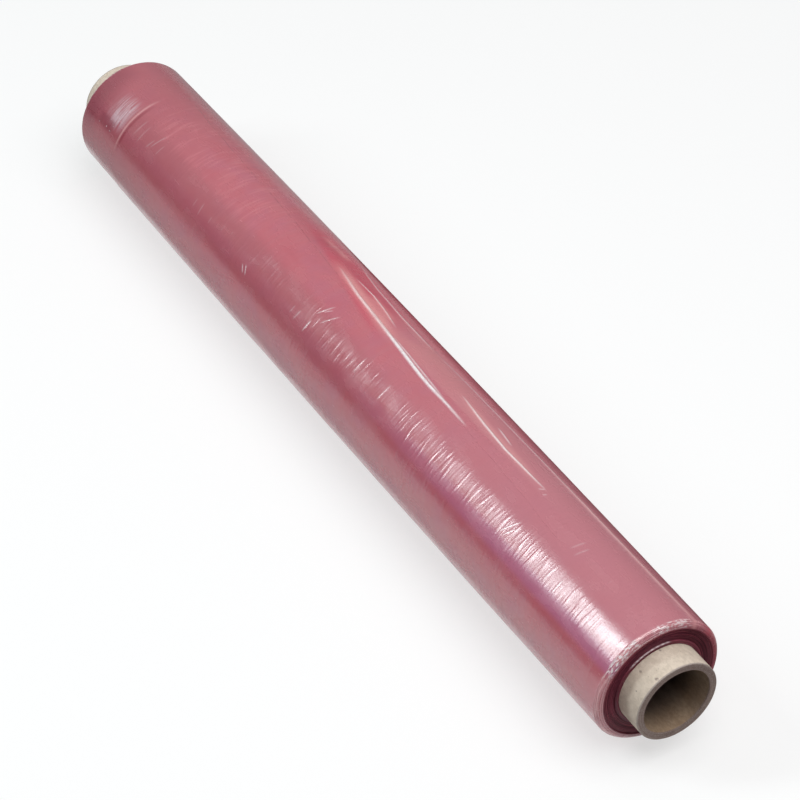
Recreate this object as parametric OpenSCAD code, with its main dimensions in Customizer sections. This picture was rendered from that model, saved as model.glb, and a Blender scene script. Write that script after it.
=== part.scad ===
// Roll of cling film: a winding of thin film on a spiral-wound cardboard tube.
// The roll lies on its side, axis along X, on the flat that its own weight presses into the winding.
// The origin is on the surface it rests on, under the middle of the tube.

/* [Winding] */
// Width of the film, along the roll
film_width = 450; // [250:1:600]
// Diameter over the film at the middle of the roll
wound_d = 59.6; // [52:0.2:110]
// Fall of the wound radius from the middle of the roll to its ends
crown = 0.9; // [0.2:0.1:2]
// Width of the flat that the roll rests on
flat_width = 12; // [6:1:18]

/* [Last wraps] */
// How far the last few wraps stand up at their edges
wrap_step = 0.25; // [0.1:0.05:0.5]
// Distance from the far end of the film to the side edge of the last wraps
wrap_edge = 35; // [10:1:80]
// Place along the roll where the tail crosses its top, from the middle
tail_place = 28; // [-60:1:60]
// Angle between the tail and the roll's axis
tail_skew = 3; // [1:0.5:5]

/* [Ends of the winding] */
// Depth of the rounded rim at the near end, along the roll
near_rim_len = 2.2; // [1:0.1:5]
// Depth of the rounded rim at the far end, along the roll
far_rim_len = 3; // [1:0.1:5]
// Radial width of both rims
rim_width = 3.1; // [2:0.1:4]
// Radial width of the innermost turns, which stand proud of the face
collar_width = 1.6; // [0.8:0.1:2.5]
// How far the face is sunk below the collar and the rim
face_sink = 0.5; // [0.2:0.1:1.2]
// Rise of each group of turns on the face
turn_step = 0.25; // [0.1:0.05:0.5]
// Groups of turns that show on the face
face_groups = 5; // [2:1:8]
// Groups of turns that show on the rim
rim_groups = 4; // [2:1:6]

/* [Core tube] */
// Bore of the tube
core_bore_d = 31; // [20:0.5:40]
// Wall of the tube
core_wall = 3.2; // [1.2:0.1:5]
// Tube past the film at the near end
near_overhang = 12.5; // [3:0.5:40]
// Tube past the film at the far end
far_overhang = 14; // [3:0.5:40]
// Worn edges of the tube
core_edge = 0.4; // [0.1:0.1:0.5]
// Clearance between the tube and the first turn
core_fit = 0.05; // [0.02:0.01:0.3]

/* [Hidden] */
$fn = 180;
CORE_COLOUR = [0.80, 0.74, 0.66];
FILM_COLOUR = [0.74, 0.44, 0.49];

core_r = core_bore_d / 2 + core_wall;
core_len = far_overhang + film_width + near_overhang;
wound_r = wound_d / 2;
// Height of the roll's axis above the surface it rests on
axis_z = sqrt(pow(wound_r, 2) - pow(flat_width / 2, 2));
// Places along the roll: far and near ends of the film, and its middle
film_far = -core_len / 2 + far_overhang;
film_near = film_far + film_width;
film_mid = (film_far + film_near) / 2;
// Flank of the roll, between the two rims, with the side edge of the last wraps on it
flank_far = film_far + far_rim_len;
flank_near = film_near - near_rim_len;
wrap_x = film_far + wrap_edge;
// Straight parts that the crowned flank is made of, from that edge to the near rim
crown_parts = 9;
first_turn_r = core_r + core_fit;
collar_r = first_turn_r + collar_width;
// Longer than anything on the roll
reach = 2 * core_len;
// Half the angle, and the depth, of the groove between two groups of turns on a rim
groove_half = 3;
groove_depth = 0.15;

// Radius of the wound film at a place along the roll
function wound_radius(x) = wound_r - crown * pow((x - film_mid) / (film_width / 2), 2);

// Groups of turns on an end face, from the collar out: each rises to its outer edge
function face_points(rim_r) =
    let (group = (rim_r - collar_r) / face_groups)
    concat(
        [[first_turn_r, 0], [collar_r, 0]],
        [for (i = [0:face_groups - 1]) each [
            [collar_r + i * group, face_sink + turn_step],
            [collar_r + (i + 1) * group, i < face_groups - 1 ? face_sink : 0]]]);

// Quarter ellipse from the face to the flank, with a fine groove between the groups of turns
function rim_points(rim_r, rim_len) =
    let (step = 90 / rim_groups)
    concat(
        [for (i = [1:rim_groups - 1]) each [
            on_rim(rim_r, rim_len, i * step - groove_half, 0),
            on_rim(rim_r, rim_len, i * step, groove_depth),
            on_rim(rim_r, rim_len, i * step + groove_half, 0)]],
        [on_rim(rim_r, rim_len, 90, 0)]);

function on_rim(rim_r, rim_len, angle, depth) = [
    rim_r + (rim_width - depth) * sin(angle),
    rim_len - (rim_len - depth) * cos(angle)];

// One end of the winding as [radius, distance in from the end], from the core to the flank
function end_points(end_r, rim_len) =
    concat(face_points(end_r - rim_width), rim_points(end_r - rim_width, rim_len));

function reversed(list) = [for (i = [len(list) - 1:-1:0]) list[i]];

// The crowned flank as [radius, place along the roll], raised by rise
function flank_points(rise) =
    [for (i = [0:crown_parts])
        let (x = wrap_x + (flank_near - wrap_x) * i / crown_parts) [wound_radius(x) + rise, x]];

// Half section of the winding as [radius, place along the roll]
function winding_section() =
    let (flank = flank_points(0),
         far = end_points(wound_radius(flank_far), far_rim_len),
         near = end_points(wound_radius(flank_near), near_rim_len))
    concat(
        [for (p = far) [p[0], film_far + p[1]]],
        [for (i = [0:crown_parts - 1]) flank[i]],
        [for (p = reversed(near)) [p[0], film_near - p[1]]]);

// Half section of the last wraps, which stop short of the far end
function wrap_section() =
    concat([[collar_r, wrap_x]], flank_points(wrap_step), [[collar_r, flank_near]]);

// Turns a shape built round Z so that it lies along X at the roll's axis
module along_roll() {
    translate([0, 0, axis_z]) rotate([0, 90, 0]) children();
}

// The last wraps: from the tail, a skewed edge along the top, down one side to the flat
module last_wraps() {
    intersection() {
        along_roll() rotate_extrude() polygon(wrap_section());
        translate([film_mid + tail_place, 0, 0])
            rotate([0, 0, -tail_skew])
                translate([-reach, -reach, -reach])
                    cube([2 * reach, reach, 2 * reach]);
    }
}

// Film: all its turns as one solid, pressed flat where the roll rests
module film() {
    color(FILM_COLOUR)
        difference() {
            union() {
                along_roll() rotate_extrude() polygon(winding_section());
                last_wraps();
            }
            translate([-reach / 2, -reach / 2, -reach]) cube(reach);
        }
}

// Core: a cardboard tube with worn edges, which stands out past the film at both ends
module core() {
    inner = core_bore_d / 2;
    half = core_len / 2;
    color(CORE_COLOUR)
        along_roll()
            rotate_extrude()
                polygon([
                    [inner, -half], [core_r - core_edge, -half], [core_r, -half + core_edge],
                    [core_r, half - core_edge], [core_r - core_edge, half], [inner, half]]);
}

core();
film();
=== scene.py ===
"""Looks of the roll of cling film: the winding, its cardboard tube, the stage and the camera."""

import logging
import math
import random
from dataclasses import dataclass
from enum import Enum

import bpy
import numpy as np
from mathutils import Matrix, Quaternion, Vector


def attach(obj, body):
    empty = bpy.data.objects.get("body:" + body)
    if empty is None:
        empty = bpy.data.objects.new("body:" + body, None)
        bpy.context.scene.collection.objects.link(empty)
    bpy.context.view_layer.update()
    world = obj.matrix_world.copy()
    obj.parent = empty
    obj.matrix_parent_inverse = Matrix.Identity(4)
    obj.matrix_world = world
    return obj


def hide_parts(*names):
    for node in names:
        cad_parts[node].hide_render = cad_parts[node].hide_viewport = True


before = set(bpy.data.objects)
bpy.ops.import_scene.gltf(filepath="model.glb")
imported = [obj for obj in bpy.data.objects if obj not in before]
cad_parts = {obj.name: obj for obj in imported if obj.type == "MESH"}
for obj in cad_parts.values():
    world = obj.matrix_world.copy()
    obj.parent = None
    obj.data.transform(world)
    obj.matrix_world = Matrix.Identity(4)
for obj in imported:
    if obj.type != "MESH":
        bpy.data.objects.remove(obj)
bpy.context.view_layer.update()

log = logging.getLogger("cling_film")

MM = 0.001
# Height of the roll's axis above the floor
AXIS_Z = 29.189724 * MM
# Radius of the flank in mm, and the length of one degree on it
WOUND_R = 29.8
ARC = WOUND_R * math.pi / 180
# Points closer than this are merged
# Attribute that holds the painted highlight on the creases' crests and the collar's lip, partly the
# whitish gap under a fold
WELD = 0.004 * MM
# Attribute that holds how white the air under a crease or lip makes it
FOLDS = "folds"
# Seed of the uneven groups of turns on the end faces
FACE_SEED = 11

Colour = tuple[float, float, float]
Point = tuple[float, float]


class Side(Enum):
    """Which end of the roll a section belongs to."""

    FAR = -1
    NEAR = 1


def put_down() -> None:
    """Leaves edit mode, with nothing selected."""
    if bpy.context.object and bpy.context.object.mode != "OBJECT":
        bpy.ops.object.mode_set(mode="OBJECT")
    bpy.ops.object.select_all(action="DESELECT")


def pick_up(piece: bpy.types.Object) -> None:
    """Selects one piece and makes it active."""
    put_down()
    piece.select_set(True)
    bpy.context.view_layer.objects.active = piece


def draw_section(name: str, points: list[Point]) -> bpy.types.Object:
    """Draws a half section over the roll's axis, one point after another.

    Args:
        name: Name of the new piece.
        points: Place along the roll and radius of each point, in metres.

    Returns:
        A piece that holds only the section's edges.
    """
    put_down()
    start_x, start_r = points[0]
    bpy.ops.mesh.primitive_plane_add(size=1 * MM, location=(start_x, 0, AXIS_Z + start_r))
    piece = bpy.context.object
    piece.name = name
    bpy.ops.object.transform_apply(location=True)
    bpy.ops.object.mode_set(mode="EDIT")
    bpy.ops.mesh.select_all(action="SELECT")
    bpy.ops.mesh.merge(type="CENTER")
    for (x0, r0), (x1, r1) in zip(points, points[1:]):
        bpy.ops.mesh.extrude_vertices_move(TRANSFORM_OT_translate={"value": (x1 - x0, 0, r1 - r0)})
    bpy.ops.object.mode_set(mode="OBJECT")
    return piece


def turn_section(piece: bpy.types.Object, sectors: tuple[tuple[float, int], ...]) -> None:
    """Spins a section once round the roll's axis and closes the seam.

    Args:
        piece: The piece that holds the section.
        sectors: Angle in degrees and number of steps of each sector, from the top.
    """
    pick_up(piece)
    bpy.ops.object.mode_set(mode="EDIT")
    bpy.ops.mesh.select_all(action="SELECT")
    for angle, steps in sectors:
        bpy.ops.mesh.spin(
            steps=steps, angle=math.radians(angle), center=(0, 0, AXIS_Z), axis=(1, 0, 0)
        )
    bpy.ops.mesh.select_all(action="SELECT")
    bpy.ops.mesh.remove_doubles(threshold=WELD)
    bpy.ops.mesh.normals_make_consistent(inside=False)
    bpy.ops.object.mode_set(mode="OBJECT")


def smooth(piece: bpy.types.Object, angle: float) -> None:
    """Shades a piece smooth, with sharp edges over an angle in degrees."""
    pick_up(piece)
    bpy.ops.object.shade_smooth_by_angle(angle=math.radians(angle))


def raise_by(piece: bpy.types.Object, name: str, rise: np.ndarray) -> None:
    """Moves points along their normals with a weighted Displace modifier.

    Args:
        piece: The piece to shape.
        name: Name of the modifier and its vertex group.
        rise: Rise of each vertex, in metres.
    """
    most = float(np.abs(rise).max())
    if most < 1e-9:
        return
    group = piece.vertex_groups.new(name=name)
    for index in np.nonzero(np.abs(rise) > 1e-8)[0]:
        group.add([int(index)], float(abs(rise[index]) / most), "REPLACE")
    pick_up(piece)
    sheet = piece.modifiers.new(name, "DISPLACE")
    sheet.vertex_group = name
    sheet.mid_level = 0
    sheet.strength = most if rise.sum() > 0 else -most
    bpy.ops.object.modifier_apply(modifier=name)
    piece.vertex_groups.remove(piece.vertex_groups[name])


@dataclass(frozen=True)
class Ripple:
    """A soft unevenness from a cloud pattern, stretched along or round the roll.

    Attributes:
        name: Name of the modifier.
        strength: Height from lowest to highest, in metres.
        size: Size of the pattern along the roll and across it, in metres.
        seat: Where the pattern is centred, in metres.
    """

    name: str
    strength: float
    size: tuple[float, float]
    seat: tuple[float, float, float] = (0.3, 0.1, 0.2)

    def press(self, piece: bpy.types.Object) -> None:
        """Applies the ripple to a piece."""
        put_down()
        bpy.ops.object.empty_add(location=self.seat)
        guide = bpy.context.object
        guide.scale = (self.size[0], self.size[1], self.size[1])
        bpy.context.view_layer.update()
        cloud = bpy.data.textures.new(self.name, type="CLOUDS")
        cloud.noise_scale = 1.0
        cloud.noise_depth = 1
        cloud.noise_basis = "IMPROVED_PERLIN"
        pick_up(piece)
        sheet = piece.modifiers.new(self.name, "DISPLACE")
        sheet.texture = cloud
        sheet.texture_coords = "OBJECT"
        sheet.texture_coords_object = guide
        sheet.mid_level = 0.5
        sheet.strength = self.strength
        bpy.ops.object.modifier_apply(modifier=self.name)
        bpy.data.objects.remove(guide)
        bpy.data.textures.remove(cloud)


def places(piece: bpy.types.Object) -> tuple[np.ndarray, np.ndarray, np.ndarray]:
    """Gives each vertex its place along the roll, angle from the top and radius.

    Args:
        piece: The piece whose vertices are read.

    Returns:
        The places in mm, the angles in degrees and the radii in mm.
    """
    flat = np.empty(len(piece.data.vertices) * 3)
    piece.data.vertices.foreach_get("co", flat)
    spots = flat.reshape(-1, 3)
    across, up = spots[:, 1], spots[:, 2] - AXIS_Z
    return (
        spots[:, 0] / MM,
        np.degrees(np.arctan2(across, up)),
        np.hypot(across, up) / MM,
    )


class Nodes:
    """Short words for laying out a material's or a group's nodes."""

    def __init__(self, tree: bpy.types.NodeTree) -> None:
        """Starts with an empty tree."""
        self.tree = tree
        tree.nodes.clear()

    def add(self, kind: str, **settings: object) -> bpy.types.Node:
        """Adds a node and sets its properties."""
        node = self.tree.nodes.new(kind)
        for name, value in settings.items():
            setattr(node, name, value)
        return node

    def join(self, source: bpy.types.NodeSocket, target: bpy.types.NodeSocket) -> None:
        """Links two sockets."""
        self.tree.links.new(source, target)

    def feed(self, node: bpy.types.Node, index: int | str, value: object) -> None:
        """Sets an input, or links it when the value is a socket."""
        if isinstance(value, bpy.types.NodeSocket):
            self.join(value, node.inputs[index])
        else:
            node.inputs[index].default_value = value

    def sum(self, operation: str, *values: object, clamp: bool = False) -> bpy.types.NodeSocket:
        """Works out one Math node.

        Args:
            operation: The Math node's operation.
            values: Numbers or sockets.
            clamp: Whether the result stays between 0 and 1.

        Returns:
            The result's socket.
        """
        node = self.add("ShaderNodeMath", operation=operation, use_clamp=clamp)
        for index, value in enumerate(values):
            self.feed(node, index, value)
        return node.outputs[0]

    def times(self, *values: object) -> bpy.types.NodeSocket:
        """Multiplies two values."""
        return self.sum("MULTIPLY", *values)

    def plus(self, *values: object) -> bpy.types.NodeSocket:
        """Adds two values."""
        return self.sum("ADD", *values)

    def greater(self, *values: object) -> bpy.types.NodeSocket:
        """Gives the greater of two values."""
        return self.sum("MAXIMUM", *values)

    def vector(
        self, operation: str, *values: object, output: str = "Vector"
    ) -> bpy.types.NodeSocket:
        """Works out one Vector Math node.

        Args:
            operation: The node's operation.
            values: Triples or sockets.
            output: Which of its outputs is used.

        Returns:
            The result's socket.
        """
        node = self.add("ShaderNodeVectorMath", operation=operation)
        for index, value in enumerate(values):
            self.feed(node, index, value)
        return node.outputs[output]

    def ramp(
        self, value: object, low: float, high: float, to_low: float = 0.0, to_high: float = 1.0
    ) -> bpy.types.NodeSocket:
        """Maps a value smoothly from one range to another."""
        node = self.add("ShaderNodeMapRange", interpolation_type="SMOOTHSTEP")
        for index, item in enumerate((value, low, high, to_low, to_high)):
            self.feed(node, index, item)
        return node.outputs[0]

    def window(self, value: object, low: float, high: float, soft: float) -> bpy.types.NodeSocket:
        """Is 1 between two values and falls to 0 over a soft margin inside each."""
        return self.times(
            self.ramp(value, low, low + soft), self.ramp(value, high - soft, high, 1.0, 0.0)
        )

    def mix(self, share: object, first: object, second: object) -> bpy.types.NodeSocket:
        """Mixes two colours."""
        node = self.add("ShaderNodeMix", data_type="RGBA")
        self.feed(node, 0, share)
        for index, value in ((6, first), (7, second)):
            self.feed(node, index, (*value, 1.0) if isinstance(value, tuple) else value)
        return node.outputs[2]

    def noise(
        self, spot: bpy.types.NodeSocket, scale: float, detail: float = 2.0, rough: float = 0.5
    ) -> bpy.types.NodeSocket:
        """Gives a noise value at a place."""
        node = self.add("ShaderNodeTexNoise")
        self.feed(node, "Vector", spot)
        self.feed(node, "Scale", scale)
        self.feed(node, "Detail", detail)
        self.feed(node, "Roughness", rough)
        return node.outputs["Fac"]

    def stretched(
        self,
        spot: bpy.types.NodeSocket,
        size: tuple[float, float, float],
        shift: tuple[float, float, float] = (0, 0, 0),
    ) -> bpy.types.NodeSocket:
        """Divides a place by the size of a pattern, so that one unit is one feature."""
        node = self.add("ShaderNodeVectorMath", operation="DIVIDE")
        self.feed(node, 0, spot)
        self.feed(node, 1, size)
        if not any(shift):
            return node.outputs[0]
        moved = self.add("ShaderNodeVectorMath", operation="ADD")
        self.feed(moved, 0, node.outputs[0])
        self.feed(moved, 1, shift)
        return moved.outputs[0]

    def pattern(
        self,
        spot: bpy.types.NodeSocket,
        size: tuple[float, float, float],
        detail: float = 2.0,
        rough: float = 0.5,
        shift: tuple[float, float, float] = (0, 0, 0),
    ) -> bpy.types.NodeSocket:
        """Gives a noise value whose features have a size along, round and out from the roll."""
        return self.noise(self.stretched(spot, size, shift), 1.0, detail, rough)

    def group(self, tree: bpy.types.NodeTree, **values: object) -> bpy.types.Node:
        """Places a node group with its own values."""
        node = self.add("ShaderNodeGroup", node_tree=tree)
        for name, value in values.items():
            self.feed(node, name.replace("_", " "), value)
        return node


def open_group(
    name: str, inputs: dict[str, tuple[str, object]], outputs: dict[str, str]
) -> tuple[Nodes, bpy.types.Node, bpy.types.Node]:
    """Starts a shader node group.

    Args:
        name: Name of the group.
        inputs: Socket type and default value of each input.
        outputs: Socket type of each output.

    Returns:
        The group's nodes, its input node and its output node.
    """
    tree = bpy.data.node_groups.new(name, "ShaderNodeTree")
    for label, (kind, value) in inputs.items():
        socket = tree.interface.new_socket(name=label, in_out="INPUT", socket_type=kind)
        socket.default_value = value
    for label, kind in outputs.items():
        tree.interface.new_socket(name=label, in_out="OUTPUT", socket_type=kind)
    nodes = Nodes(tree)
    return nodes, nodes.add("NodeGroupInput"), nodes.add("NodeGroupOutput")


class SharedEffects:
    """The node groups that more than one finish uses."""

    def __init__(self) -> None:
        """Builds each group once."""
        self.unrolled = self._unrolled()
        self.specks = self._specks()
        self.fold = self._fold()

    @staticmethod
    def _unrolled() -> bpy.types.NodeTree:
        """Place on the unrolled roll: along it, round it from the top, and out from its axis."""
        nodes, _, out = open_group(
            "Unrolled",
            {},
            {
                "Place": "NodeSocketVector",
                "Along": "NodeSocketFloat",
                "Degrees": "NodeSocketFloat",
                "Radius": "NodeSocketFloat",
            },
        )
        spot = nodes.add("ShaderNodeTexCoord").outputs["Object"]
        parts = nodes.add("ShaderNodeSeparateXYZ")
        nodes.join(spot, parts.inputs[0])
        up = nodes.sum("SUBTRACT", parts.outputs[2], AXIS_Z)
        turn = nodes.sum("ARCTAN2", parts.outputs[1], up)
        radius = nodes.sum(
            "SQRT",
            nodes.plus(
                nodes.sum("POWER", parts.outputs[1], 2.0), nodes.sum("POWER", up, 2.0)
            ),
        )
        along = nodes.sum("DIVIDE", parts.outputs[0], MM)
        out_mm = nodes.sum("DIVIDE", radius, MM)
        degrees = nodes.times(turn, 180 / math.pi)
        place = nodes.add("ShaderNodeCombineXYZ")
        nodes.join(along, place.inputs[0])
        nodes.join(nodes.times(degrees, ARC), place.inputs[1])
        nodes.join(out_mm, place.inputs[2])
        nodes.join(place.outputs[0], out.inputs["Place"])
        nodes.join(along, out.inputs["Along"])
        nodes.join(degrees, out.inputs["Degrees"])
        nodes.join(out_mm, out.inputs["Radius"])
        return nodes.tree

    @staticmethod
    def _specks() -> bpy.types.NodeTree:
        """Sparse specks of dust or grain."""
        nodes, given, out = open_group(
            "Specks",
            {
                "Place": ("NodeSocketVector", (0, 0, 0)),
                "Size": ("NodeSocketFloat", 1.0),
                "Amount": ("NodeSocketFloat", 0.1),
            },
            {"Mask": "NodeSocketFloat"},
        )
        cells = nodes.add("ShaderNodeTexVoronoi", feature="F1")
        scale = nodes.add("ShaderNodeVectorMath", operation="DIVIDE")
        nodes.join(given.outputs["Place"], scale.inputs[0])
        nodes.join(given.outputs["Size"], scale.inputs[1])
        nodes.join(scale.outputs[0], cells.inputs["Vector"])
        cells.inputs["Scale"].default_value = 1.0
        chosen = nodes.sum(
            "LESS_THAN",
            nodes.sum("FRACT", nodes.times(cells.outputs["Color"], 7.3)),
            given.outputs["Amount"],
        )
        near = nodes.ramp(cells.outputs["Distance"], 0.12, 0.32, 1.0, 0.0)
        nodes.join(nodes.times(chosen, near), out.inputs["Mask"])
        return nodes.tree

    def place_fold(
        self, nodes: Nodes, place: bpy.types.NodeSocket, start: Point, end: Point, width: float
    ) -> bpy.types.NodeSocket:
        """Places one short fold in a material.

        Args:
            nodes: The material's nodes.
            place: Place on the unrolled roll.
            start: Where it starts, in mm along the roll and degrees from the top.
            end: Where it ends.
            width: Half of its width, in mm.

        Returns:
            The socket of the fold's crest, from 0 to 1.
        """
        fold = nodes.group(
            self.fold,
            Place=place,
            Start=(start[0], start[1] * ARC, 0),
            End=(end[0], end[1] * ARC, 0),
            Width=width,
        )
        return fold.outputs["Crest"]

    @staticmethod
    def _fold() -> bpy.types.NodeTree:
        """Crest of a short fold between two places on the unrolled roll."""
        nodes, given, out = open_group(
            "Fold",
            {
                "Place": ("NodeSocketVector", (0, 0, 0)),
                "Start": ("NodeSocketVector", (0, 0, 0)),
                "End": ("NodeSocketVector", (1, 0, 0)),
                "Width": ("NodeSocketFloat", 0.5),
            },
            {"Crest": "NodeSocketFloat"},
        )
        flat = nodes.vector("MULTIPLY", given.outputs["Place"], (1, 1, 0))
        run = nodes.vector("SUBTRACT", given.outputs["End"], given.outputs["Start"])
        gone = nodes.vector("SUBTRACT", flat, given.outputs["Start"])
        whole = nodes.vector("DOT_PRODUCT", run, run, output="Value")
        share = nodes.sum(
            "DIVIDE", nodes.vector("DOT_PRODUCT", gone, run, output="Value"), whole, clamp=True
        )
        foot = nodes.vector("MULTIPLY_ADD", run, share, given.outputs["Start"])
        away = nodes.vector("DISTANCE", flat, foot, output="Value")
        middle = nodes.sum("ABSOLUTE", nodes.sum("SUBTRACT", share, 0.5))
        line = nodes.ramp(away, 0.0, given.outputs["Width"], 1.0, 0.0)
        nodes.join(nodes.times(line, nodes.ramp(middle, 0.2, 0.5, 1.0, 0.0)), out.inputs["Crest"])
        return nodes.tree


def new_material(name: str) -> tuple[bpy.types.Material, Nodes, bpy.types.Node]:
    """Starts a material with a Principled shader.

    Returns:
        The material, its nodes and its shader.
    """
    material = bpy.data.materials.new(name)
    material.use_nodes = True
    nodes = Nodes(material.node_tree)
    shader = nodes.add("ShaderNodeBsdfPrincipled")
    surface = nodes.add("ShaderNodeOutputMaterial")
    nodes.join(shader.outputs[0], surface.inputs["Surface"])
    return material, nodes, shader


@dataclass(frozen=True)
class FilmFinish:
    """Glossy tinted film on the flank, with fine wrinkles round the roll, and painted highlights,
    sheen and shade in its colour.

    Attributes:
        name: Name of the material.
        roughness: Roughness of the clearest film; cloudier film has a little more.
        haze: Weight of the soft gloss over the sharp one.
        relief: Share of their height that the short folds keep.
        highlight_and_shade_strokes: Painted highlights and painted shade as strokes, pale where
            folds and edges catch the light, dark beside the last wraps' edge and in hollows that
            reflect dark surroundings: start, end, half width, amount and colour.
        marks: Short folds: start, end, half width, height of the crest and whiteness, which is a
            painted highlight streak.
    """

    name: str = "film_gloss"
    tint: Colour = (0.57, 0.128, 0.162)
    deep: Colour = (0.52, 0.095, 0.13)
    dusty: Colour = (0.54, 0.16, 0.19)
    mauve: Colour = (0.50, 0.13, 0.195)
    dark_red_and_shade: Colour = (0.43, 0.10, 0.125)
    edge_shade_red: Colour = (0.67, 0.095, 0.14)
    pocket_shade_red: Colour = (0.60, 0.05, 0.095)
    near_sheen: Colour = (0.53, 0.18, 0.22)
    loose: Colour = (0.68, 0.27, 0.275)
    arcs: Colour = (0.72, 0.24, 0.27)
    pearl: Colour = (0.84, 0.70, 0.76)
    highlight_fringe: Colour = (0.50, 0.17, 0.34)
    stacked: Colour = (0.20, 0.025, 0.05)
    # White of the painted glints and highlight streaks
    glint_white: Colour = (1.0, 0.93, 0.94)
    lifted: Colour = (0.90, 0.48, 0.50)
    roughness: float = 0.19
    haze: float = 0.4
    relief: float = 0.7
    highlight_and_shade_strokes: tuple[tuple[Point, Point, float, float, Colour], ...] = (
        ((-44, 15), (30, 0), 5.0, 0.55, (0.88, 0.42, 0.40)),
        ((-60, 26), (-36, 30), 3.0, 0.4, (0.88, 0.42, 0.40)),
        ((-12, 17.5), (14, 13.0), 3.5, 0.35, (0.88, 0.42, 0.40)),
        ((60, 12), (140, 7.5), 3.5, 0.3, (0.88, 0.42, 0.40)),
        ((110, 31.5), (260, 35.4), 2.4, 0.5, (0.90, 0.46, 0.46)),
        ((-186.9, -74), (-185.6, -8), 1.5, 0.65, (0.30, 0.035, 0.055)),
        ((-188.7, -76), (-187.6, 0), 1.1, 0.6, (0.86, 0.46, 0.46)),
        ((-60, 12), (-44, 33), 6.0, 0.3, (0.42, 0.06, 0.10)),
        ((-4, 35), (30, 34), 4.0, 0.3, (0.46, 0.06, 0.10)),
    )
    marks: tuple[tuple[Point, Point, float, float, float], ...] = (
        ((-69.5, -50), (-66, -57), 0.55, 0.8, 0.45),
        ((-67.3, -48), (-63.8, -57), 0.55, 0.8, 0.45),
        ((-14.6, -53), (-13.8, -38), 0.55, 1.0, 0.55),
        ((-23.3, -52), (-22.4, -39), 0.6, 0.6, 0.25),
        ((-27.5, -50), (-27.0, -40), 0.6, 0.4, 0.15),
        ((-14.8, -34), (-10.0, -16), 0.55, 0.8, 0.4),
        ((-12.5, -28), (-9.0, -20), 0.5, 0.6, 0.25),
        ((-9.4, -37), (-3.4, -19), 0.55, 0.7, 0.35),
        ((-112.0, -53), (-113.0, -38), 0.6, 0.5, 0.15),
        ((-118.0, -50), (-118.4, -40), 0.6, 0.4, 0.1),
        ((-103.0, -50), (-103.4, -42), 0.6, 0.4, 0.1),
        ((-181.0, -48), (-179.6, -24), 0.7, 0.5, 0.12),
        ((-176.0, -50), (-175.2, -26), 0.7, 0.4, 0.1),
        ((-168.5, -46), (-166.5, -33), 0.6, 0.5, 0.15),
        ((-166.0, -43), (-162.5, -22), 0.6, 0.6, 0.18),
        ((-160.0, -44), (-159.0, -30), 0.6, 0.5, 0.12),
        ((139.8, -44), (145.5, -24), 0.5, 0.7, 0.5),
        ((142.5, -44), (146.5, -30), 0.5, 0.6, 0.4),
        ((44.8, -46), (45.2, -26), 0.6, 0.6, 0.3),
        ((24.0, -46), (24.6, -25), 0.6, 0.6, 0.25),
        ((180.0, -46), (180.2, -31), 0.7, 0.5, 0.5),
        ((172.8, -45), (173.2, -31), 0.6, 0.5, 0.4),
        ((169.5, -12), (170.5, 4), 0.7, 0.3, 0.15),
        ((173.5, -14), (174.5, 2), 0.7, 0.3, 0.15),
        ((134.0, 4), (136.0, 9), 0.6, 0.3, 0.3),
        ((138.0, 3), (139.0, 7), 0.5, 0.3, 0.3),
    )

    def mix(self, effects: SharedEffects) -> bpy.types.Material:
        """Builds the material."""
        material, nodes, shader = new_material(self.name)
        at = nodes.group(effects.unrolled)
        place, along, turn = (at.outputs[n] for n in ("Place", "Along", "Degrees"))
        marks = [effects.place_fold(nodes, place, *mark[:3]) for mark in self.marks]
        colour = self._colour(nodes, effects, place, along, turn, at.outputs["Radius"])
        # Painted highlights and shade: pale strokes along lit folds and edges, dark strokes in
        # shaded hollows
        for start, end, width, amount, shade in self.highlight_and_shade_strokes:
            crest = effects.place_fold(nodes, place, start, end, width)
            colour = nodes.mix(nodes.times(crest, amount), colour, shade)
        # Painted highlights: the short folds whitened into streaks of gloss
        for crest, (_, _, _, _, glint_amount) in zip(marks, self.marks):
            colour = nodes.mix(nodes.times(crest, glint_amount), colour, self.glint_white)
        nodes.join(colour, shader.inputs["Base Color"])
        shader.inputs["Specular IOR Level"].default_value = 1.0
        shader.inputs["IOR"].default_value = 1.6
        shader.inputs["Coat Weight"].default_value = self.haze
        shader.inputs["Coat Roughness"].default_value = 0.36
        shader.inputs["Coat IOR"].default_value = 1.5
        patchy = nodes.pattern(place, (14, 5, 9), 3.0)
        nodes.join(
            nodes.ramp(patchy, 0.35, 0.7, self.roughness, self.roughness + 0.12),
            shader.inputs["Roughness"],
        )
        height = self._wrinkles(nodes, place, along, turn)
        for crest, (_, _, _, rise, _) in zip(marks, self.marks):
            height = nodes.plus(height, nodes.times(crest, rise * self.relief))
        bump = nodes.add("ShaderNodeBump")
        bump.inputs["Strength"].default_value = 1.0
        bump.inputs["Distance"].default_value = 0.10 * MM
        nodes.join(height, bump.inputs["Height"])
        nodes.join(bump.outputs[0], shader.inputs["Normal"])
        return material

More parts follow.
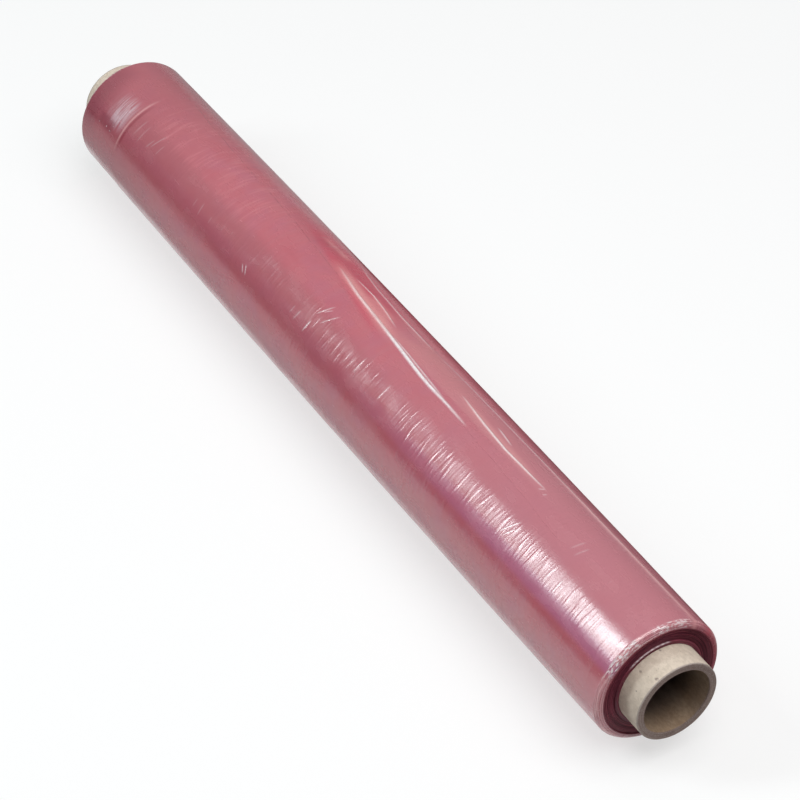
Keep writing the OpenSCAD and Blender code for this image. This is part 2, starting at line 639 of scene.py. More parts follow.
    def _colour(
        self,
        nodes: Nodes,
        effects: SharedEffects,
        place: bpy.types.NodeSocket,
        along: bpy.types.NodeSocket,
        turn: bpy.types.NodeSocket,
        radius: bpy.types.NodeSocket,
    ) -> bpy.types.NodeSocket:
        """Tint with bands round the roll, parts where the last wraps lie loose, and painted shade,
        reflections, sheen and highlights.
        """
        bands = nodes.pattern(place, (3.2, 60, 30), 4.0, 0.6)
        cloudy = nodes.pattern(place, (30, 9, 20), 3.0, shift=(3.1, 7.7, 0))
        mottle = nodes.pattern(place, (12, 10, 9), 2.0, 0.5, shift=(1.9, 5.5, 0))
        base = nodes.mix(nodes.ramp(bands, 0.3, 0.75, 0.0, 0.5), self.tint, self.dusty)
        base = nodes.mix(nodes.ramp(cloudy, 0.42, 0.7, 0.0, 0.5), base, self.deep)
        base = nodes.mix(nodes.ramp(mottle, 0.4, 0.7, 0.0, 0.45), base, self.mauve)
        # Darker towards the far end
        base = nodes.mix(nodes.ramp(along, -110.0, -200.0, 0.0, 0.6), base, self.dark_red_and_shade)
        # Painted shade: a darker band under the key highlight, where the film reflects dark
        # surroundings, fading towards the near end
        shaded = nodes.times(
            nodes.window(turn, -70.0, -20.0, 12.0), nodes.ramp(along, -20.0, 110.0, 0.65, 0.15)
        )
        base = nodes.mix(shaded, base, self.dark_red_and_shade)
        rubbed = nodes.times(
            nodes.window(along, -190.0, -70.0, 25.0), nodes.window(turn, -36.0, 34.0, 14.0)
        )
        scuffs = nodes.pattern(place, (1.15, 13, 20), 1.0, shift=(2.3, 6.2, 0))
        base = nodes.mix(
            nodes.times(rubbed, nodes.ramp(scuffs, 0.48, 0.7, 0.0, 0.4)), base, self.arcs
        )
        # Painted dark reflection: deep red in the shallow pocket beside the long crease, where it
        # reflects dark surroundings
        pocket = nodes.times(
            nodes.times(nodes.ramp(along, -78.0, -56.0), nodes.ramp(along, -8.0, 26.0, 1.0, 0.0)),
            nodes.window(nodes.sum("MULTIPLY_ADD", along, 0.35, turn), -8.0, 60.0, 7.0),
        )
        # Painted shade: deeper, more saturated red along the flank's edge from 28 to 60 degrees
        # round, from the middle to the near end
        edge_shade = nodes.times(nodes.ramp(along, -30.0, 20.0), nodes.window(turn, 28.0, 60.0, 3.0))
        base = nodes.mix(
            nodes.times(edge_shade, nodes.ramp(cloudy, 0.3, 0.6, 0.95, 0.7)), base, self.edge_shade_red
        )
        base = nodes.mix(
            nodes.times(pocket, nodes.ramp(cloudy, 0.3, 0.6, 0.95, 0.65)), base, self.pocket_shade_red
        )
        slack = nodes.times(
            nodes.times(nodes.ramp(along, -6.0, 30.0), nodes.ramp(along, 110.0, 180.0, 1.0, 0.0)),
            nodes.window(turn, 1.0, 28.5, 3.0),
        )
        base = nodes.mix(
            nodes.times(slack, nodes.ramp(cloudy, 0.25, 0.65, 0.25, 0.65)), base, self.loose
        )
        # Painted sheen: paler, greyer film round the key highlight, growing towards the near end
        base = nodes.mix(
            nodes.times(
                nodes.ramp(along, -20.0, 170.0, 0.1, 0.85), nodes.window(turn, -50.0, 62.0, 18.0)
            ),
            base,
            self.near_sheen,
        )
        # Painted highlight fringe: a violet band along the lower edge of the key highlight,
        # stronger towards the near end
        highlight_fringe = nodes.times(
            nodes.ramp(along, 0.0, 190.0, 0.05, 0.5), nodes.window(turn, -61.0, -41.0, 7.0)
        )
        base = nodes.mix(highlight_fringe, base, self.highlight_fringe)
        # Painted highlight: a pale streaky patch near the far end, where the key lamp's reflection
        # shows
        patch = nodes.times(
            nodes.window(along, -209.0, -187.6, 8.0), nodes.window(turn, -60.0, -16.0, 16.0)
        )
        patch_streaks = nodes.times(
            nodes.ramp(scuffs, 0.35, 0.62, 0.12, 1.0), nodes.ramp(along, -206.0, -196.0, 0.4, 1.0)
        )
        base = nodes.mix(nodes.times(patch, nodes.times(patch_streaks, 0.65)), base, self.pearl)
        far_side = nodes.times(
            nodes.ramp(along, -205.0, -218.0), nodes.window(turn, -90.0, 10.0, 30.0)
        )
        base = nodes.mix(nodes.times(far_side, 0.45), base, self.stacked)
        # A darker patch with pale specks near the far end
        speckled_patch = nodes.times(
            nodes.window(along, -211.0, -194.0, 4.0), nodes.window(turn, -64.0, -49.0, 4.0)
        )
        base = nodes.mix(nodes.times(speckled_patch, 0.35), base, self.stacked)
        specks = nodes.group(effects.specks, Place=place, Size=1.5, Amount=0.3)
        base = nodes.mix(nodes.times(speckled_patch, nodes.times(specks.outputs[0], 0.8)), base, self.pearl)
        rim = nodes.greater(nodes.ramp(along, 222.8, 224.0), nodes.ramp(along, -221.8, -223.0))
        layered = nodes.pattern(place, (0.9, 12, 0.8), 1.0, shift=(3.3, 0.4, 0))
        worn = nodes.ramp(layered, 0.4, 0.62, 0.1, 0.7)
        outer = nodes.times(nodes.times(rim, nodes.ramp(radius, 27.0, 28.7)), worn)
        base = nodes.mix(outer, base, self.lifted)
        # Painted glints: short pale strokes on the rim, on the sides where the light falls
        glint_breaks = nodes.pattern(place, (0.7, 1.9, 0.4), 1.0, shift=(4.4, 2.1, 0))
        lit = nodes.greater(
            nodes.window(turn, -66.0, -14.0, 14.0),
            nodes.times(nodes.window(turn, -12.0, 34.0, 12.0), 0.7),
        )
        catching = nodes.times(lit, nodes.ramp(glint_breaks, 0.47, 0.6))
        glint = nodes.times(nodes.times(rim, nodes.ramp(radius, 26.0, 27.0)), catching)
        base = nodes.mix(nodes.times(glint, 0.9), base, self.glint_white)
        # Darker towards the face: partly the dark edges of the turns, partly painted shade where
        # the rim turns away from the light
        rim_edges_and_shade = nodes.times(rim, nodes.ramp(radius, 28.0, 25.9, 0.0, 0.38))
        base = nodes.mix(rim_edges_and_shade, base, self.stacked)
        # Painted highlight on the creases' crests and the collar's lip, partly the whitish gap
        # under a fold
        folds = nodes.add("ShaderNodeAttribute", attribute_name=FOLDS)
        broken = nodes.pattern(place, (1.6, 0.9, 1.0), 2.0)
        white = nodes.times(folds.outputs["Fac"], nodes.ramp(broken, 0.25, 0.55, 0.7, 1.0))
        return nodes.mix(white, base, self.glint_white)

    def _wrinkles(
        self,
        nodes: Nodes,
        place: bpy.types.NodeSocket,
        along: bpy.types.NodeSocket,
        turn: bpy.types.NodeSocket,
    ) -> bpy.types.NodeSocket:
        """Height of the wrinkles: fine ones all over, and stronger short ones in places."""
        fine = nodes.pattern(place, (1.1, 17, 10), 1.0, 0.5)
        short = nodes.pattern(place, (1.8, 11, 10), 0.0, shift=(5.2, 1.3, 0))
        sparse = nodes.pattern(place, (24, 18, 20), 0.0, shift=(1.7, 9.1, 0))
        ridges = nodes.times(nodes.ramp(short, 0.45, 0.8), nodes.ramp(sparse, 0.35, 0.65, 0.2, 1.0))
        amount = nodes.sum(
            "SUBTRACT",
            nodes.ramp(along, -120.0, 20.0, 0.6, 1.0),
            nodes.ramp(along, 140.0, 215.0, 0.0, 0.25),
        )
        whole = nodes.plus(nodes.times(fine, 0.6), nodes.times(ridges, 0.8))
        rim = nodes.greater(nodes.ramp(along, 223.0, 224.0), nodes.ramp(along, -221.8, -223.0))
        turns = nodes.pattern(place, (0.9, 12, 0.8), 1.0, shift=(3.3, 0.4, 0))
        return nodes.plus(nodes.times(whole, amount), nodes.times(nodes.times(turns, rim), 3.0))


@dataclass(frozen=True)
class FilmEdgeFinish:
    """The stacked edges of the turns on the end faces: dark, with fine rings, with painted light on
    the upper side of the outer turns and a painted glint on the collar's lip.
    """

    name: str = "film_edges"
    dark: Colour = (0.085, 0.011, 0.024)
    light: Colour = (0.36, 0.08, 0.12)
    outermost: Colour = (0.42, 0.10, 0.135)
    lip: Colour = (0.95, 0.80, 0.84)

    def mix(self, effects: SharedEffects) -> bpy.types.Material:
        """Builds the material."""
        material, nodes, shader = new_material(self.name)
        at = nodes.group(effects.unrolled)
        ring_spot = nodes.stretched(at.outputs["Place"], (9.0, 240.0, 0.33))
        rings = nodes.noise(ring_spot, 1.0, 3.0, 0.6)
        wide = nodes.pattern(at.outputs["Place"], (9.0, 30.0, 1.6), 2.0)
        blend = nodes.times(nodes.ramp(rings, 0.38, 0.66), nodes.ramp(wide, 0.3, 0.7, 0.3, 1.0))
        folds = nodes.add("ShaderNodeAttribute", attribute_name=FOLDS)
        colour = nodes.mix(blend, self.dark, self.light)
        # Painted light: the face's outer turns lighter on the side from -100 to 30 degrees, where
        # the light falls
        upper = nodes.sum(
            "MULTIPLY_ADD", nodes.window(at.outputs["Degrees"], -100.0, 30.0, 40.0), 0.7, 0.3
        )
        outside = nodes.times(nodes.ramp(at.outputs["Radius"], 23.0, 25.6), upper)
        colour = nodes.mix(nodes.times(outside, 0.75), colour, self.outermost)
        # Painted glint on the collar's lip
        nodes.join(nodes.mix(folds.outputs["Fac"], colour, self.lip), shader.inputs["Base Color"])
        nodes.join(nodes.ramp(rings, 0.3, 0.7, 0.42, 0.6), shader.inputs["Roughness"])
        shader.inputs["Specular IOR Level"].default_value = 0.3
        bump = nodes.add("ShaderNodeBump")
        bump.inputs["Strength"].default_value = 0.7
        bump.inputs["Distance"].default_value = 0.08 * MM
        nodes.join(rings, bump.inputs["Height"])
        nodes.join(bump.outputs[0], shader.inputs["Normal"])
        return material


@dataclass(frozen=True)
class CardboardFinish:
    """Grey-buff cardboard, smooth outside, darker and torn where it was cut, with painted shade in
    the bore and a painted highlight along the cut's outer edge.
    """

    name: str = "cardboard"
    face: Colour = (0.77, 0.66, 0.55)
    shade: Colour = (0.62, 0.52, 0.42)
    cut: Colour = (0.22, 0.15, 0.135)
    ply: Colour = (0.34, 0.25, 0.22)
    pale_fibre_and_highlight: Colour = (0.55, 0.47, 0.42)
    bore: Colour = (0.44, 0.30, 0.19)
    old_bore: Colour = (0.33, 0.22, 0.14)
    bore_shade: Colour = (0.05, 0.028, 0.025)
    smudges: tuple[tuple[Point, Point, float], ...] = (
        ((235.9, -33), (237.2, -28), 1.3),
        ((228.2, -40), (229.4, -37), 1.0),
        ((226.0, -5), (226.9, -2), 0.9),
        ((232.5, -60), (233.1, -58), 0.7),
    )

    def mix(self, effects: SharedEffects) -> bpy.types.Material:
        """Builds the material."""
        material, nodes, shader = new_material(self.name)
        at = nodes.group(effects.unrolled)
        place = at.outputs["Place"]
        pulp = nodes.pattern(place, (2.2, 2.6, 2.2), 4.0, 0.65)
        fibres = nodes.pattern(place, (0.9, 0.28, 0.9), 3.0, 0.7)
        wound = nodes.add("ShaderNodeVectorRotate", rotation_type="Z_AXIS")
        nodes.join(place, wound.inputs["Vector"])
        wound.inputs["Angle"].default_value = math.radians(38)
        plies = nodes.pattern(wound.outputs[0], (5.0, 90.0, 60.0), 2.0)
        colour = nodes.mix(nodes.ramp(pulp, 0.35, 0.65, 0.0, 0.8), self.face, self.shade)
        colour = nodes.mix(nodes.ramp(fibres, 0.5, 0.75, 0.0, 0.35), colour, self.bore)
        colour = nodes.mix(nodes.ramp(plies, 0.45, 0.6, 0.0, 0.22), colour, self.shade)
        specks = nodes.group(effects.specks, Place=place, Size=1.1, Amount=0.05)
        colour = nodes.mix(nodes.times(specks.outputs[0], 0.45), colour, self.cut)
        for start, end, width in self.smudges:
            smudge = effects.place_fold(nodes, place, start, end, width)
            dirt = nodes.times(smudge, nodes.ramp(fibres, 0.35, 0.6, 0.3, 0.9))
            colour = nodes.mix(dirt, colour, self.cut)
        inside = nodes.ramp(at.outputs["Radius"], 15.45, 15.75, 1.0, 0.0)
        rim_noise = nodes.times(nodes.sum("SUBTRACT", fibres, 0.5), 1.1)
        end = nodes.plus(nodes.sum("ABSOLUTE", at.outputs["Along"]), rim_noise)
        torn = nodes.ramp(end, 237.45, 237.85)
        layers = nodes.pattern(place, (2.0, 40.0, 0.5), 2.0, 0.6)
        cut = nodes.mix(nodes.ramp(layers, 0.35, 0.7), self.cut, self.ply)
        cut = nodes.mix(nodes.ramp(fibres, 0.45, 0.7, 0.0, 0.6), cut, self.pale_fibre_and_highlight)
        # Painted highlight: paler along the outer edge of the cut, over the pale fibres
        frayed = nodes.plus(
            at.outputs["Radius"], nodes.times(nodes.sum("SUBTRACT", pulp, 0.5), 1.4)
        )
        cut = nodes.mix(nodes.ramp(frayed, 18.1, 18.5, 0.0, 0.6), cut, self.pale_fibre_and_highlight)
        # Painted shade: the bore darkens with depth from each end, and along the side from 30 to
        # 165 degrees
        depth = nodes.ramp(nodes.sum("ABSOLUTE", at.outputs["Along"]), 218.0, 238.5, 1.0, 0.0)
        bore_side_shade = nodes.times(nodes.window(at.outputs["Degrees"], 30.0, 165.0, 35.0), 0.4)
        depth = nodes.greater(depth, bore_side_shade)
        bore = nodes.mix(
            depth, nodes.mix(nodes.ramp(pulp, 0.3, 0.7), self.bore, self.old_bore), self.bore_shade
        )
        colour = nodes.mix(inside, colour, bore)
        colour = nodes.mix(torn, colour, cut)
        nodes.join(colour, shader.inputs["Base Color"])
        nodes.join(nodes.ramp(fibres, 0.3, 0.7, 0.7, 0.9), shader.inputs["Roughness"])
        shader.inputs["Specular IOR Level"].default_value = 0.25
        grain = nodes.plus(nodes.times(fibres, 0.6), nodes.times(pulp, 0.8))
        bump = nodes.add("ShaderNodeBump")
        bump.inputs["Strength"].default_value = 0.8
        bump.inputs["Distance"].default_value = 0.12 * MM
        nodes.join(nodes.plus(grain, nodes.times(torn, layers)), bump.inputs["Height"])
        nodes.join(bump.outputs[0], shader.inputs["Normal"])
        return material


@dataclass(frozen=True)
class FloorFinish:
    """Plain white floor with a faint grain, which keeps the roll's shadow."""

    name: str = "white_floor"
    colour: Colour = (0.97, 0.97, 0.97)
    paper: Colour = (0.52, 0.52, 0.52)
    white: float = 0.62

    def mix(self) -> bpy.types.Material:
        """Builds the material: white where it is seen, and paler grey where it lights the roll."""
        material, nodes, shader = new_material(self.name)
        spot = nodes.add("ShaderNodeTexCoord").outputs["Object"]
        grain = nodes.noise(spot, 400.0, 2.0)
        nodes.join(nodes.ramp(grain, 0.2, 0.8, 0.82, 0.9), shader.inputs["Roughness"])
        shader.inputs["Base Color"].default_value = (*self.colour, 1)
        shader.inputs["Specular IOR Level"].default_value = 0.0
        glow = nodes.add("ShaderNodeEmission")
        glow.inputs["Strength"].default_value = 1.0
        seen = nodes.add("ShaderNodeMixShader")
        seen.inputs[0].default_value = self.white
        nodes.join(shader.outputs[0], seen.inputs[1])
        nodes.join(glow.outputs[0], seen.inputs[2])
        paper = nodes.add("ShaderNodeBsdfDiffuse")
        paper.inputs["Color"].default_value = (*self.paper, 1)
        path = nodes.add("ShaderNodeLightPath")
        looks = nodes.greater(path.outputs["Is Camera Ray"], path.outputs["Is Glossy Ray"])
        looks = nodes.greater(looks, path.outputs["Is Transmission Ray"])
        whole = nodes.add("ShaderNodeMixShader")
        nodes.join(looks, whole.inputs[0])
        nodes.join(paper.outputs[0], whole.inputs[1])
        nodes.join(seen.outputs[0], whole.inputs[2])
        surface = nodes.tree.get_output_node("ALL")
        nodes.join(whole.outputs[0], surface.inputs["Surface"])
        return material


@dataclass(frozen=True)
class Crease:
    """A raised fold in the outer wrap.

    Attributes:
        path: Place along the roll in mm and angle from the top in degrees, point by point.
        height: Height of its crest, in mm.
        half_width: Half of its width, in mm.
        glint_amount: Whiteness of its crest, up to 1, partly from the gap under the fold and partly
            a painted highlight.
    """

    path: tuple[Point, ...]
    height: float
    half_width: float
    glint_amount: float

    def crest(self, along: np.ndarray, turn: np.ndarray) -> np.ndarray:
        """Gives how near places on the roll are to the fold's crest, from 0 to 1."""
        spots = np.stack([along, turn * ARC], axis=1)
        line = np.array([(x, a * ARC) for x, a in self.path])
        lengths = np.linalg.norm(np.diff(line, axis=0), axis=1)
        best = np.full(len(spots), 1e9)
        share = np.zeros(len(spots))
        done = 0.0
        for start, end, length in zip(line, line[1:], lengths):
            step = (end - start) / length
            t = np.clip((spots - start) @ step, 0, length)
            away = np.linalg.norm(spots - start - t[:, None] * step, axis=1)
            closer = away < best
            best[closer] = away[closer]
            share[closer] = (done + t[closer]) / lengths.sum()
            done += length
        taper = np.clip(np.sin(np.pi * np.clip(share, 0, 1)), 0, 1) ** 0.6
        return np.clip(1 - best / self.half_width, 0, 1) * taper


@dataclass
class Winding:
    """All turns of the film: crowned flank, grouped turns at both ends, last wraps and creases.

    Attributes:
        far_x: Far end of the film, in mm, as are all lengths here.
        near_x: Near end of the film.
        crown: Fall of the radius from the middle to the ends.
        collar_r: Radius of the innermost turns, which stand proud of the face.
        wrap_x: Side edge of the last wraps.
        tail_place: Where the tail's edge crosses the top.
        tail_skew: Angle between the tail and the roll's axis, in degrees.
        station: Distance between the rings of the flank's mesh.
        sectors: Angle and number of steps of each sector, from the top.
    """

    far_x: float = -224.25
    near_x: float = 225.75
    wound_r: float = WOUND_R
    crown: float = 0.9
    bore_r: float = 18.75
    collar_r: float = 20.35
    face_sink: float = 0.5
    turn_step: float = 0.25
    face_groups: int = 8
    rim_width: float = 3.1
    rim_lengths: tuple[float, float] = (3.0, 2.2)
    rim_groups: int = 5
    groove_half: float = 2.5
    groove_depth: float = 0.13
    wrap_x: float = -189.25
    wrap_step: float = 0.25
    tail_place: float = 28.75
    tail_skew: float = 3.0
    station: float = 1.25
    sectors: tuple[tuple[float, int], ...] = ((46, 92), (134, 44), (165, 55), (15, 22))
    smooth_angle: float = 28
    ripples: tuple[Ripple, ...] = (
        Ripple("slack_round", 0.07 * MM, (10 * MM, 30 * MM)),
        Ripple("slack_along", 0.18 * MM, (90 * MM, 12 * MM), (0.21, 0.13, 0.08)),
    )
    creases: tuple[Crease, ...] = (
        Crease(
            (
                (-34, 12.6),
                (-12, 5.8),
                (9.5, 2.6),
                (29, -0.6),
                (47.7, -3.6),
                (57, -4.4),
                (72, -4.2),
                (88, -5.0),
            ),
            0.62,
            1.15,
            1.0,
        ),
        Crease(((20, 3.2), (37, 1.4), (58, -1.4), (70, -3.3)), 0.26, 0.6, 0.5),
        Crease(((-24, 18.0), (-9, 18.6), (3, 16.0), (16, 11.5)), 0.30, 0.6, 0.6),
        Crease(
            ((68, 13.5), (77, 11.5), (90, 9.0), (107, 7.0), (128, 8.2), (137, 9.0)), 0.40, 0.8, 0.85
        ),
        Crease(((93, 18.0), (106, 14.8)), 0.24, 0.6, 0.5),
        Crease(((-36, 39), (-27, 34.0), (-15, 30), (9, 26.5), (36, 26.5)), 0.28, 0.8, 0.4),
        Crease(((34, 26.5), (60, 29), (150, 33.0), (190, 34.0), (222.5, 34.6)), 0.12, 1.0, 0.3),
    )

    def radius_at(self, along: float) -> float:
        """Gives the wound radius in mm at a place along the roll."""
        middle = (self.far_x + self.near_x) / 2
        half = (self.near_x - self.far_x) / 2
        return self.wound_r - self.crown * ((along - middle) / half) ** 2

    def end_section(self, side: Side) -> list[Point]:
        """Gives one end of the section from bore to flank, as place and radius in mm."""
        rim_len = self.rim_lengths[0 if side is Side.FAR else 1]
        end = self.far_x if side is Side.FAR else self.near_x
        rim_r = self.radius_at(end - side.value * rim_len) - self.rim_width
        chance = random.Random(FACE_SEED + side.value)
        found = [
            (0.0, self.bore_r),
            (0.0, self.collar_r - 0.45),
            (0.05, self.collar_r - 0.1),
            (0.18, self.collar_r),
        ]
        edges = [
            self.collar_r + (rim_r - self.collar_r) * i / self.face_groups for i in range(
                self.face_groups + 1
            )
        ]
        for index in range(1, self.face_groups):
            edges[index] += chance.uniform(-0.14, 0.14)
        for index, (low, high) in enumerate(zip(edges, edges[1:])):
            last = index == self.face_groups - 1
            depth = self.face_sink + self.turn_step * chance.uniform(0.4, 1.0)
            found.append((depth, low + 0.03))
            found.append((depth * 0.9, (low + high) / 2))
            found.append((0.0 if last else self.face_sink * chance.uniform(0.85, 1.0), high - 0.03))
        step = 90 / self.rim_groups
        for group in range(self.rim_groups):
            if group:
                found.append(self._on_rim(rim_r, rim_len, group * step, self.groove_depth))
                found.append(self._on_rim(rim_r, rim_len, group * step + self.groove_half, 0.0))
            for share in (0.35, 0.65, 1.0):
                angle = (group + share) * step
                if share == 1.0 and group < self.rim_groups - 1:
                    angle -= self.groove_half
                found.append(self._on_rim(rim_r, rim_len, angle, 0.0))
        return [(end - side.value * depth, radius) for depth, radius in found]

    def _on_rim(self, rim_r: float, rim_len: float, angle: float, depth: float) -> Point:
        """Gives a point of the rim's quarter ellipse, sunk by a depth.

        Args:
            rim_r: Radius where the rim meets the face, in mm.
            rim_len: Length of the rim along the roll, in mm.
            angle: Angle of the point on the ellipse, in degrees.
            depth: How far it is sunk, in mm.

        Returns:
            Its distance from the end and its radius, in mm.
        """
        at = math.radians(angle)
        out = rim_r + (self.rim_width - depth) * math.sin(at)
        return rim_len - (rim_len - depth) * math.cos(at), out

    def section(self) -> list[Point]:
        """Gives the whole half section in metres, closed along the bore."""
        far, near = self.end_section(Side.FAR), self.end_section(Side.NEAR)
        start = self.far_x + self.rim_lengths[0]
        stop = self.near_x - self.rim_lengths[1]
        count = round((stop - start) / self.station)
        flank = [start + (stop - start) * i / count for i in range(count + 1)]
        flank = [x for x in flank if abs(x - self.wrap_x) > 0.3]
        flank = sorted(flank + [self.wrap_x - 0.06, self.wrap_x + 0.06])
        found = far + [(x, self.radius_at(x)) for x in flank] + near[::-1]
        found.append(far[0])
        return [(x * MM, r * MM) for x, r in found]

    def build(self) -> bpy.types.Object:
        """Builds the winding's mesh."""
        piece = draw_section("film_winding", self.section())
        turn_section(piece, self.sectors)
        self._lay_last_wraps(piece)
        for ripple in self.ripples:
            ripple.press(piece)
        self._settle(piece)
        smooth(piece, self.smooth_angle)
        piece.data.calc_loop_triangles()
        log.info("film_winding: %d triangles", len(piece.data.loop_triangles))
        return piece

    def _lay_last_wraps(self, piece: bpy.types.Object) -> None:
        """Raises the last wraps and the creases over the turns below, and stores the painted
        highlight on the creases' crests and the collar's lip.
        """
        along, turn, radius = places(piece)
        across = radius * np.sin(np.radians(turn))
        tail = -(along - self.tail_place) * math.tan(math.radians(self.tail_skew))
        # The tail's edge wanders a little
        tail += 0.35 * np.sin(along / 17.0) + 0.15 * np.sin(along / 4.1)
        flank = radius > self.radius_at(self.near_x) - 0.4
        covered = flank & (across < tail) & (along > self.wrap_x) & (
            along < self.near_x - self.rim_lengths[1]
        )
        rise = np.where(covered, self.wrap_step, 0.0)
        glint_amount = np.zeros(len(along))
        for crease in self.creases:
            crest = crease.crest(along, turn)
            rise = rise + crease.height * crest
            glint_amount = np.maximum(glint_amount, crease.glint_amount * np.clip(crest * 1.8 - 0.15, 0, 1))
        # A shallow pocket beside the long crease
        dip = 0.3 * np.exp(-(((turn - 26) / 8) ** 2)) * np.exp(-(((along + 32) / 24) ** 2))
        rise = np.where(flank, rise, 0.0)
        raise_by(piece, "last_wraps", rise * MM)
        raise_by(piece, "pocket", np.where(flank, -dip, 0.0) * MM)
        # Painted highlight: the creases' crests, and the collar's lip on the side where the light
        # falls
        folds = piece.data.attributes.new(FOLDS, "FLOAT", "POINT")
        lip = (along > self.near_x - 0.3) & (radius > self.collar_r - 0.2) & (
            radius < self.collar_r + 0.02
        )
        lit = np.clip((turn + 46) / 6, 0, 1) * np.clip((14 - turn) / 8, 0, 1) * (
            0.7 + 0.3 * np.sin(turn * 0.9)
        )
        glint_amount = np.where(flank, glint_amount, np.where(lip, lit, 0.0))
        folds.data.foreach_set("value", glint_amount.astype(np.float32))

    def _settle(self, piece: bpy.types.Object) -> None:
        """Presses the underside flat where the roll rests."""
        pick_up(piece)
        bpy.ops.object.mode_set(mode="EDIT")
        bpy.ops.mesh.select_mode(type="VERT")
        bpy.ops.mesh.select_all(action="DESELECT")
        bpy.ops.object.mode_set(mode="OBJECT")
        for vertex in piece.data.vertices:
            vertex.select = vertex.co.z < 0
        bpy.ops.object.mode_set(mode="EDIT")
        bpy.ops.transform.resize(value=(1, 1, 0), center_override=(0, 0, 0))
        bpy.ops.object.mode_set(mode="OBJECT")

    def dress(self, piece: bpy.types.Object, effects: SharedEffects) -> None:
        """Gives the flank its gloss and the end faces their ringed edges."""
        piece.data.materials.clear()
        piece.data.materials.append(FilmFinish().mix(effects))
        piece.data.materials.append(FilmEdgeFinish().mix(effects))
        rim = self.radius_at(self.near_x) - self.rim_width + 0.25
        for face in piece.data.polygons:
            out = math.hypot(face.center.y, face.center.z - AXIS_Z) / MM
            face.material_index = 1 if out < rim else 0
        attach(piece, "root")
        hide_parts("film")


@dataclass
class CardboardTube:
    """The spiral-wound tube, with worn and slightly ragged cut edges."""

    half_length: float = 238.25
    outer_r: float = 18.7
    bore_r: float = 15.5
    worn: float = 0.4
    facets: int = 240

    def section(self) -> list[Point]:
        """Gives the tube's closed half section in metres."""
        half, out, bore, worn = self.half_length, self.outer_r, self.bore_r, self.worn
        cut = [bore + (out - worn - bore) * i / 7 for i in range(8)]
        end = [(half - 0.12, cut[0]), (half - 0.02, cut[0] + 0.1)]
        end += [(half - 0.05 * (i % 2), radius) for i, radius in enumerate(cut) if 0 < i < 7]
        end += [(half, cut[7]), (half - 0.1, out - 0.1), (half - worn, out)]
        outside = [
            half - 0.9, half - 1.6, half - 2.6, half - 4, half - 6, half - 9, half - 13, half - 20
        ]
        upper = end + [(x, out) for x in outside]
        lower = [(-x, radius) for x, radius in reversed(upper)]
        inside = [
            (-half + 4, bore),
            (-half + 20, bore),
            (0, bore),
            (half - 60, bore),
            (half - 20, bore),
            (half - 8, bore),
            (half - 3, bore),
            (half - 1, bore),
        ]
        found = upper + lower + inside
        found.append(upper[0])
        return [(x * MM, radius * MM) for x, radius in found]

    def build(self) -> bpy.types.Object:
        """Builds the tube's mesh."""
        piece = draw_section("cardboard_tube", self.section())
        turn_section(piece, ((360, self.facets),))
        Ripple("soft_wall", 0.10 * MM, (6 * MM, 6 * MM), (0.14, 0.05, 0.02)).press(piece)
        smooth(piece, 40)
        log.info("cardboard_tube: %d faces", len(piece.data.polygons))
        return piece

    def dress(self, piece: bpy.types.Object, effects: SharedEffects) -> None:
        """Gives the tube its cardboard."""
        piece.data.materials.clear()
        piece.data.materials.append(CardboardFinish().mix(effects))
        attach(piece, "root")
        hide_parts("core")


@dataclass(frozen=True)
class SoftLamp:
    """A soft lamp that faces a point.

    Attributes:
        name: Name of the lamp.
        place: Centre of the lamp, in metres.
        size: Width and height, in metres.
        radiance: How bright its face is, where 1 is white.
        aim: The point that it faces.
        colour: Colour of its light.
        roll: Turn about the way it faces, in degrees.
    """

    name: str
    place: tuple[float, float, float]
    size: tuple[float, float]
    radiance: float
    aim: tuple[float, float, float] = (0.0, 0.0, 0.03)
    colour: Colour = (1.0, 1.0, 1.0)
    roll: float = 0.0

    def hang(self) -> None:
        """Adds the lamp to the scene."""
        put_down()
        bpy.ops.object.light_add(type="AREA", location=self.place)
        lamp = bpy.context.object
        lamp.name = self.name
        facing = (Vector(self.aim) - Vector(self.place)).to_track_quat("-Z", "Y")
        turned = facing @ Quaternion((0, 0, 1), math.radians(self.roll))
        lamp.rotation_euler = turned.to_euler()
        lamp.data.shape = "RECTANGLE"
        lamp.data.size, lamp.data.size_y = self.size
        lamp.data.energy = self.radiance * math.pi * self.size[0] * self.size[1]
        lamp.data.color = self.colour


@dataclass(frozen=True)
class DarkCard:
    """A dark card that only shows in the gloss, as a photographer uses to draw a glossy edge.

    Attributes:
        name: Name of the card.
        corner: Its lowest corner, in metres.
        size: Its size along each axis, in metres; one of them is 0.
        shade: Its grey at the far end.
        near_shade: Its grey at the near end.
    """

    name: str
    corner: tuple[float, float, float]
    size: tuple[float, float, float]
    shade: float
    near_shade: float

    def stand(self) -> None:
        """Adds the card to the stage."""
        put_down()
        centre = [low + side / 2 for low, side in zip(self.corner, self.size)]
        bpy.ops.mesh.primitive_plane_add(size=1, location=centre)
        card = bpy.context.object
        card.name = self.name
        if self.size[2]:
            card.rotation_euler = (math.pi / 2, 0, 0)
            card.scale = (self.size[0], self.size[2], 1)
        else:
            card.scale = (self.size[0], self.size[1], 1)
        material, nodes, shader = new_material(self.name)
        parts = nodes.add("ShaderNodeSeparateXYZ")
        nodes.join(nodes.add("ShaderNodeTexCoord").outputs["Object"], parts.inputs[0])
        grey = nodes.sum(
            "MULTIPLY_ADD",
            parts.outputs[0],
            self.near_shade - self.shade,
            (self.near_shade + self.shade) / 2,
        )
        nodes.join(grey, shader.inputs["Base Color"])
        shader.inputs["Roughness"].default_value = 0.9
        card.data.materials.append(material)
        card.visible_camera = False
        card.visible_diffuse = False
        card.visible_transmission = False
        card.visible_shadow = False


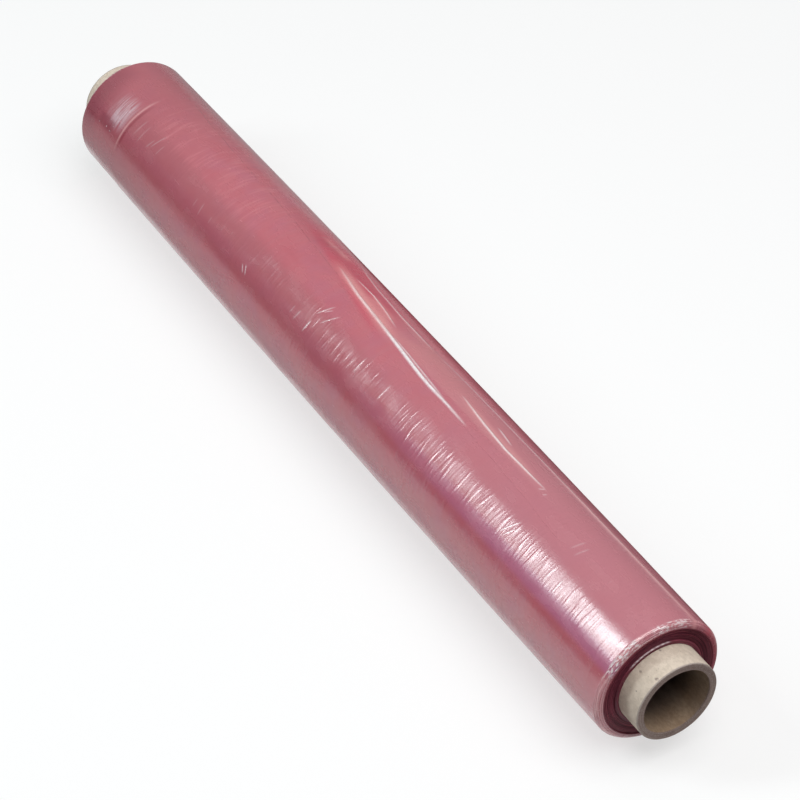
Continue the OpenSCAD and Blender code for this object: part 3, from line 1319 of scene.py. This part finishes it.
@dataclass
class Stage:
    """Camera, floor, lamps and surroundings."""

    camera_place: tuple[float, float, float] = (0.8773, -0.5068, 0.8699)
    camera_forward: tuple[float, float, float] = (-0.654, 0.3908, -0.6477)
    lens: float = 135.0
    floor_radius: float = 3.5
    dim: float = 0.08
    bright: float = 0.32
    bright_side: tuple[float, float, float] = (-0.60, 0.30, 0.74)
    lamps: tuple[SoftLamp, ...] = (
        SoftLamp(
            "key", (-0.557, -0.893, 0.965), (0.27, 0.80), 10.8, colour=(0.88, 0.98, 1.0), roll=24.0
        ),
        SoftLamp("overhead", (0.45, 0.15, 1.32), (1.3, 1.3), 3.0),
    )
    cards: tuple[DarkCard, ...] = (
        DarkCard("low_card", (-0.80, -0.26, 0.0), (0.95, 0.0, 0.14), 0.05, 0.05),
        DarkCard("front_card", (-0.80, -0.255, 0.0006), (1.15, 0.222, 0.0), 0.0, 0.98),
        DarkCard("near_card", (-0.13, 0.01, 0.0006), (0.75, 0.60, 0.0), 0.04, 0.04),
        DarkCard("far_card", (-0.80, 0.01, 0.0006), (0.67, 0.60, 0.0), 0.42, 0.42),
    )

    def set_camera(self) -> None:
        """Places the camera at the photograph's viewing angle."""
        put_down()
        bpy.ops.object.camera_add(location=self.camera_place)
        camera = bpy.context.object
        camera.name = "camera"
        camera.rotation_mode = "QUATERNION"
        camera.rotation_quaternion = Vector(self.camera_forward).to_track_quat("-Z", "Y")
        camera.data.sensor_width = 36.0
        camera.data.lens = self.lens
        camera.data.clip_start = 0.05
        camera.data.clip_end = 20.0
        bpy.context.scene.camera = camera

    def lay_floor(self) -> None:
        """Lays a round pale floor under the roll."""
        put_down()
        bpy.ops.mesh.primitive_circle_add(vertices=96, radius=self.floor_radius, fill_type="NGON")
        floor = bpy.context.object
        floor.name = "floor"
        floor.data.materials.append(FloorFinish().mix())

    def light(self) -> None:
        """Hangs the lamps and sets the surroundings."""
        for lamp in self.lamps:
            lamp.hang()
        for card in self.cards:
            card.stand()
        world = bpy.data.worlds.new("surroundings")
        bpy.context.scene.world = world
        world.use_nodes = True
        nodes = Nodes(world.node_tree)
        sky = nodes.add("ShaderNodeBackground")
        out = nodes.add("ShaderNodeOutputWorld")
        toward = nodes.add("ShaderNodeVectorMath", operation="DOT_PRODUCT")
        nodes.join(nodes.add("ShaderNodeTexCoord").outputs["Generated"], toward.inputs[0])
        toward.inputs[1].default_value = self.bright_side
        glow = nodes.ramp(toward.outputs["Value"], 0.35, 1.0, self.dim, self.bright)
        sky.inputs["Color"].default_value = (1, 1, 1, 1)
        nodes.join(glow, sky.inputs["Strength"])
        backdrop = nodes.add("ShaderNodeBackground")
        backdrop.inputs["Color"].default_value = (1, 1, 1, 1)
        path = nodes.add("ShaderNodeLightPath")
        looks = nodes.greater(path.outputs["Is Camera Ray"], path.outputs["Is Transmission Ray"])
        whole = nodes.add("ShaderNodeMixShader")
        nodes.join(looks, whole.inputs[0])
        nodes.join(sky.outputs[0], whole.inputs[1])
        nodes.join(backdrop.outputs[0], whole.inputs[2])
        nodes.join(whole.outputs[0], out.inputs["Surface"])
        bpy.context.scene.view_settings.view_transform = "Standard"


def main() -> None:
    """Builds the stage and the pieces in order."""
    logging.basicConfig(level=logging.INFO, format="%(name)s: %(message)s")
    stage = Stage()
    stage.set_camera()
    stage.lay_floor()
    stage.light()
    effects = SharedEffects()
    winding = Winding()
    winding.dress(winding.build(), effects)
    tube = CardboardTube()
    tube.dress(tube.build(), effects)
    put_down()


if __name__ == "__main__":
    main()
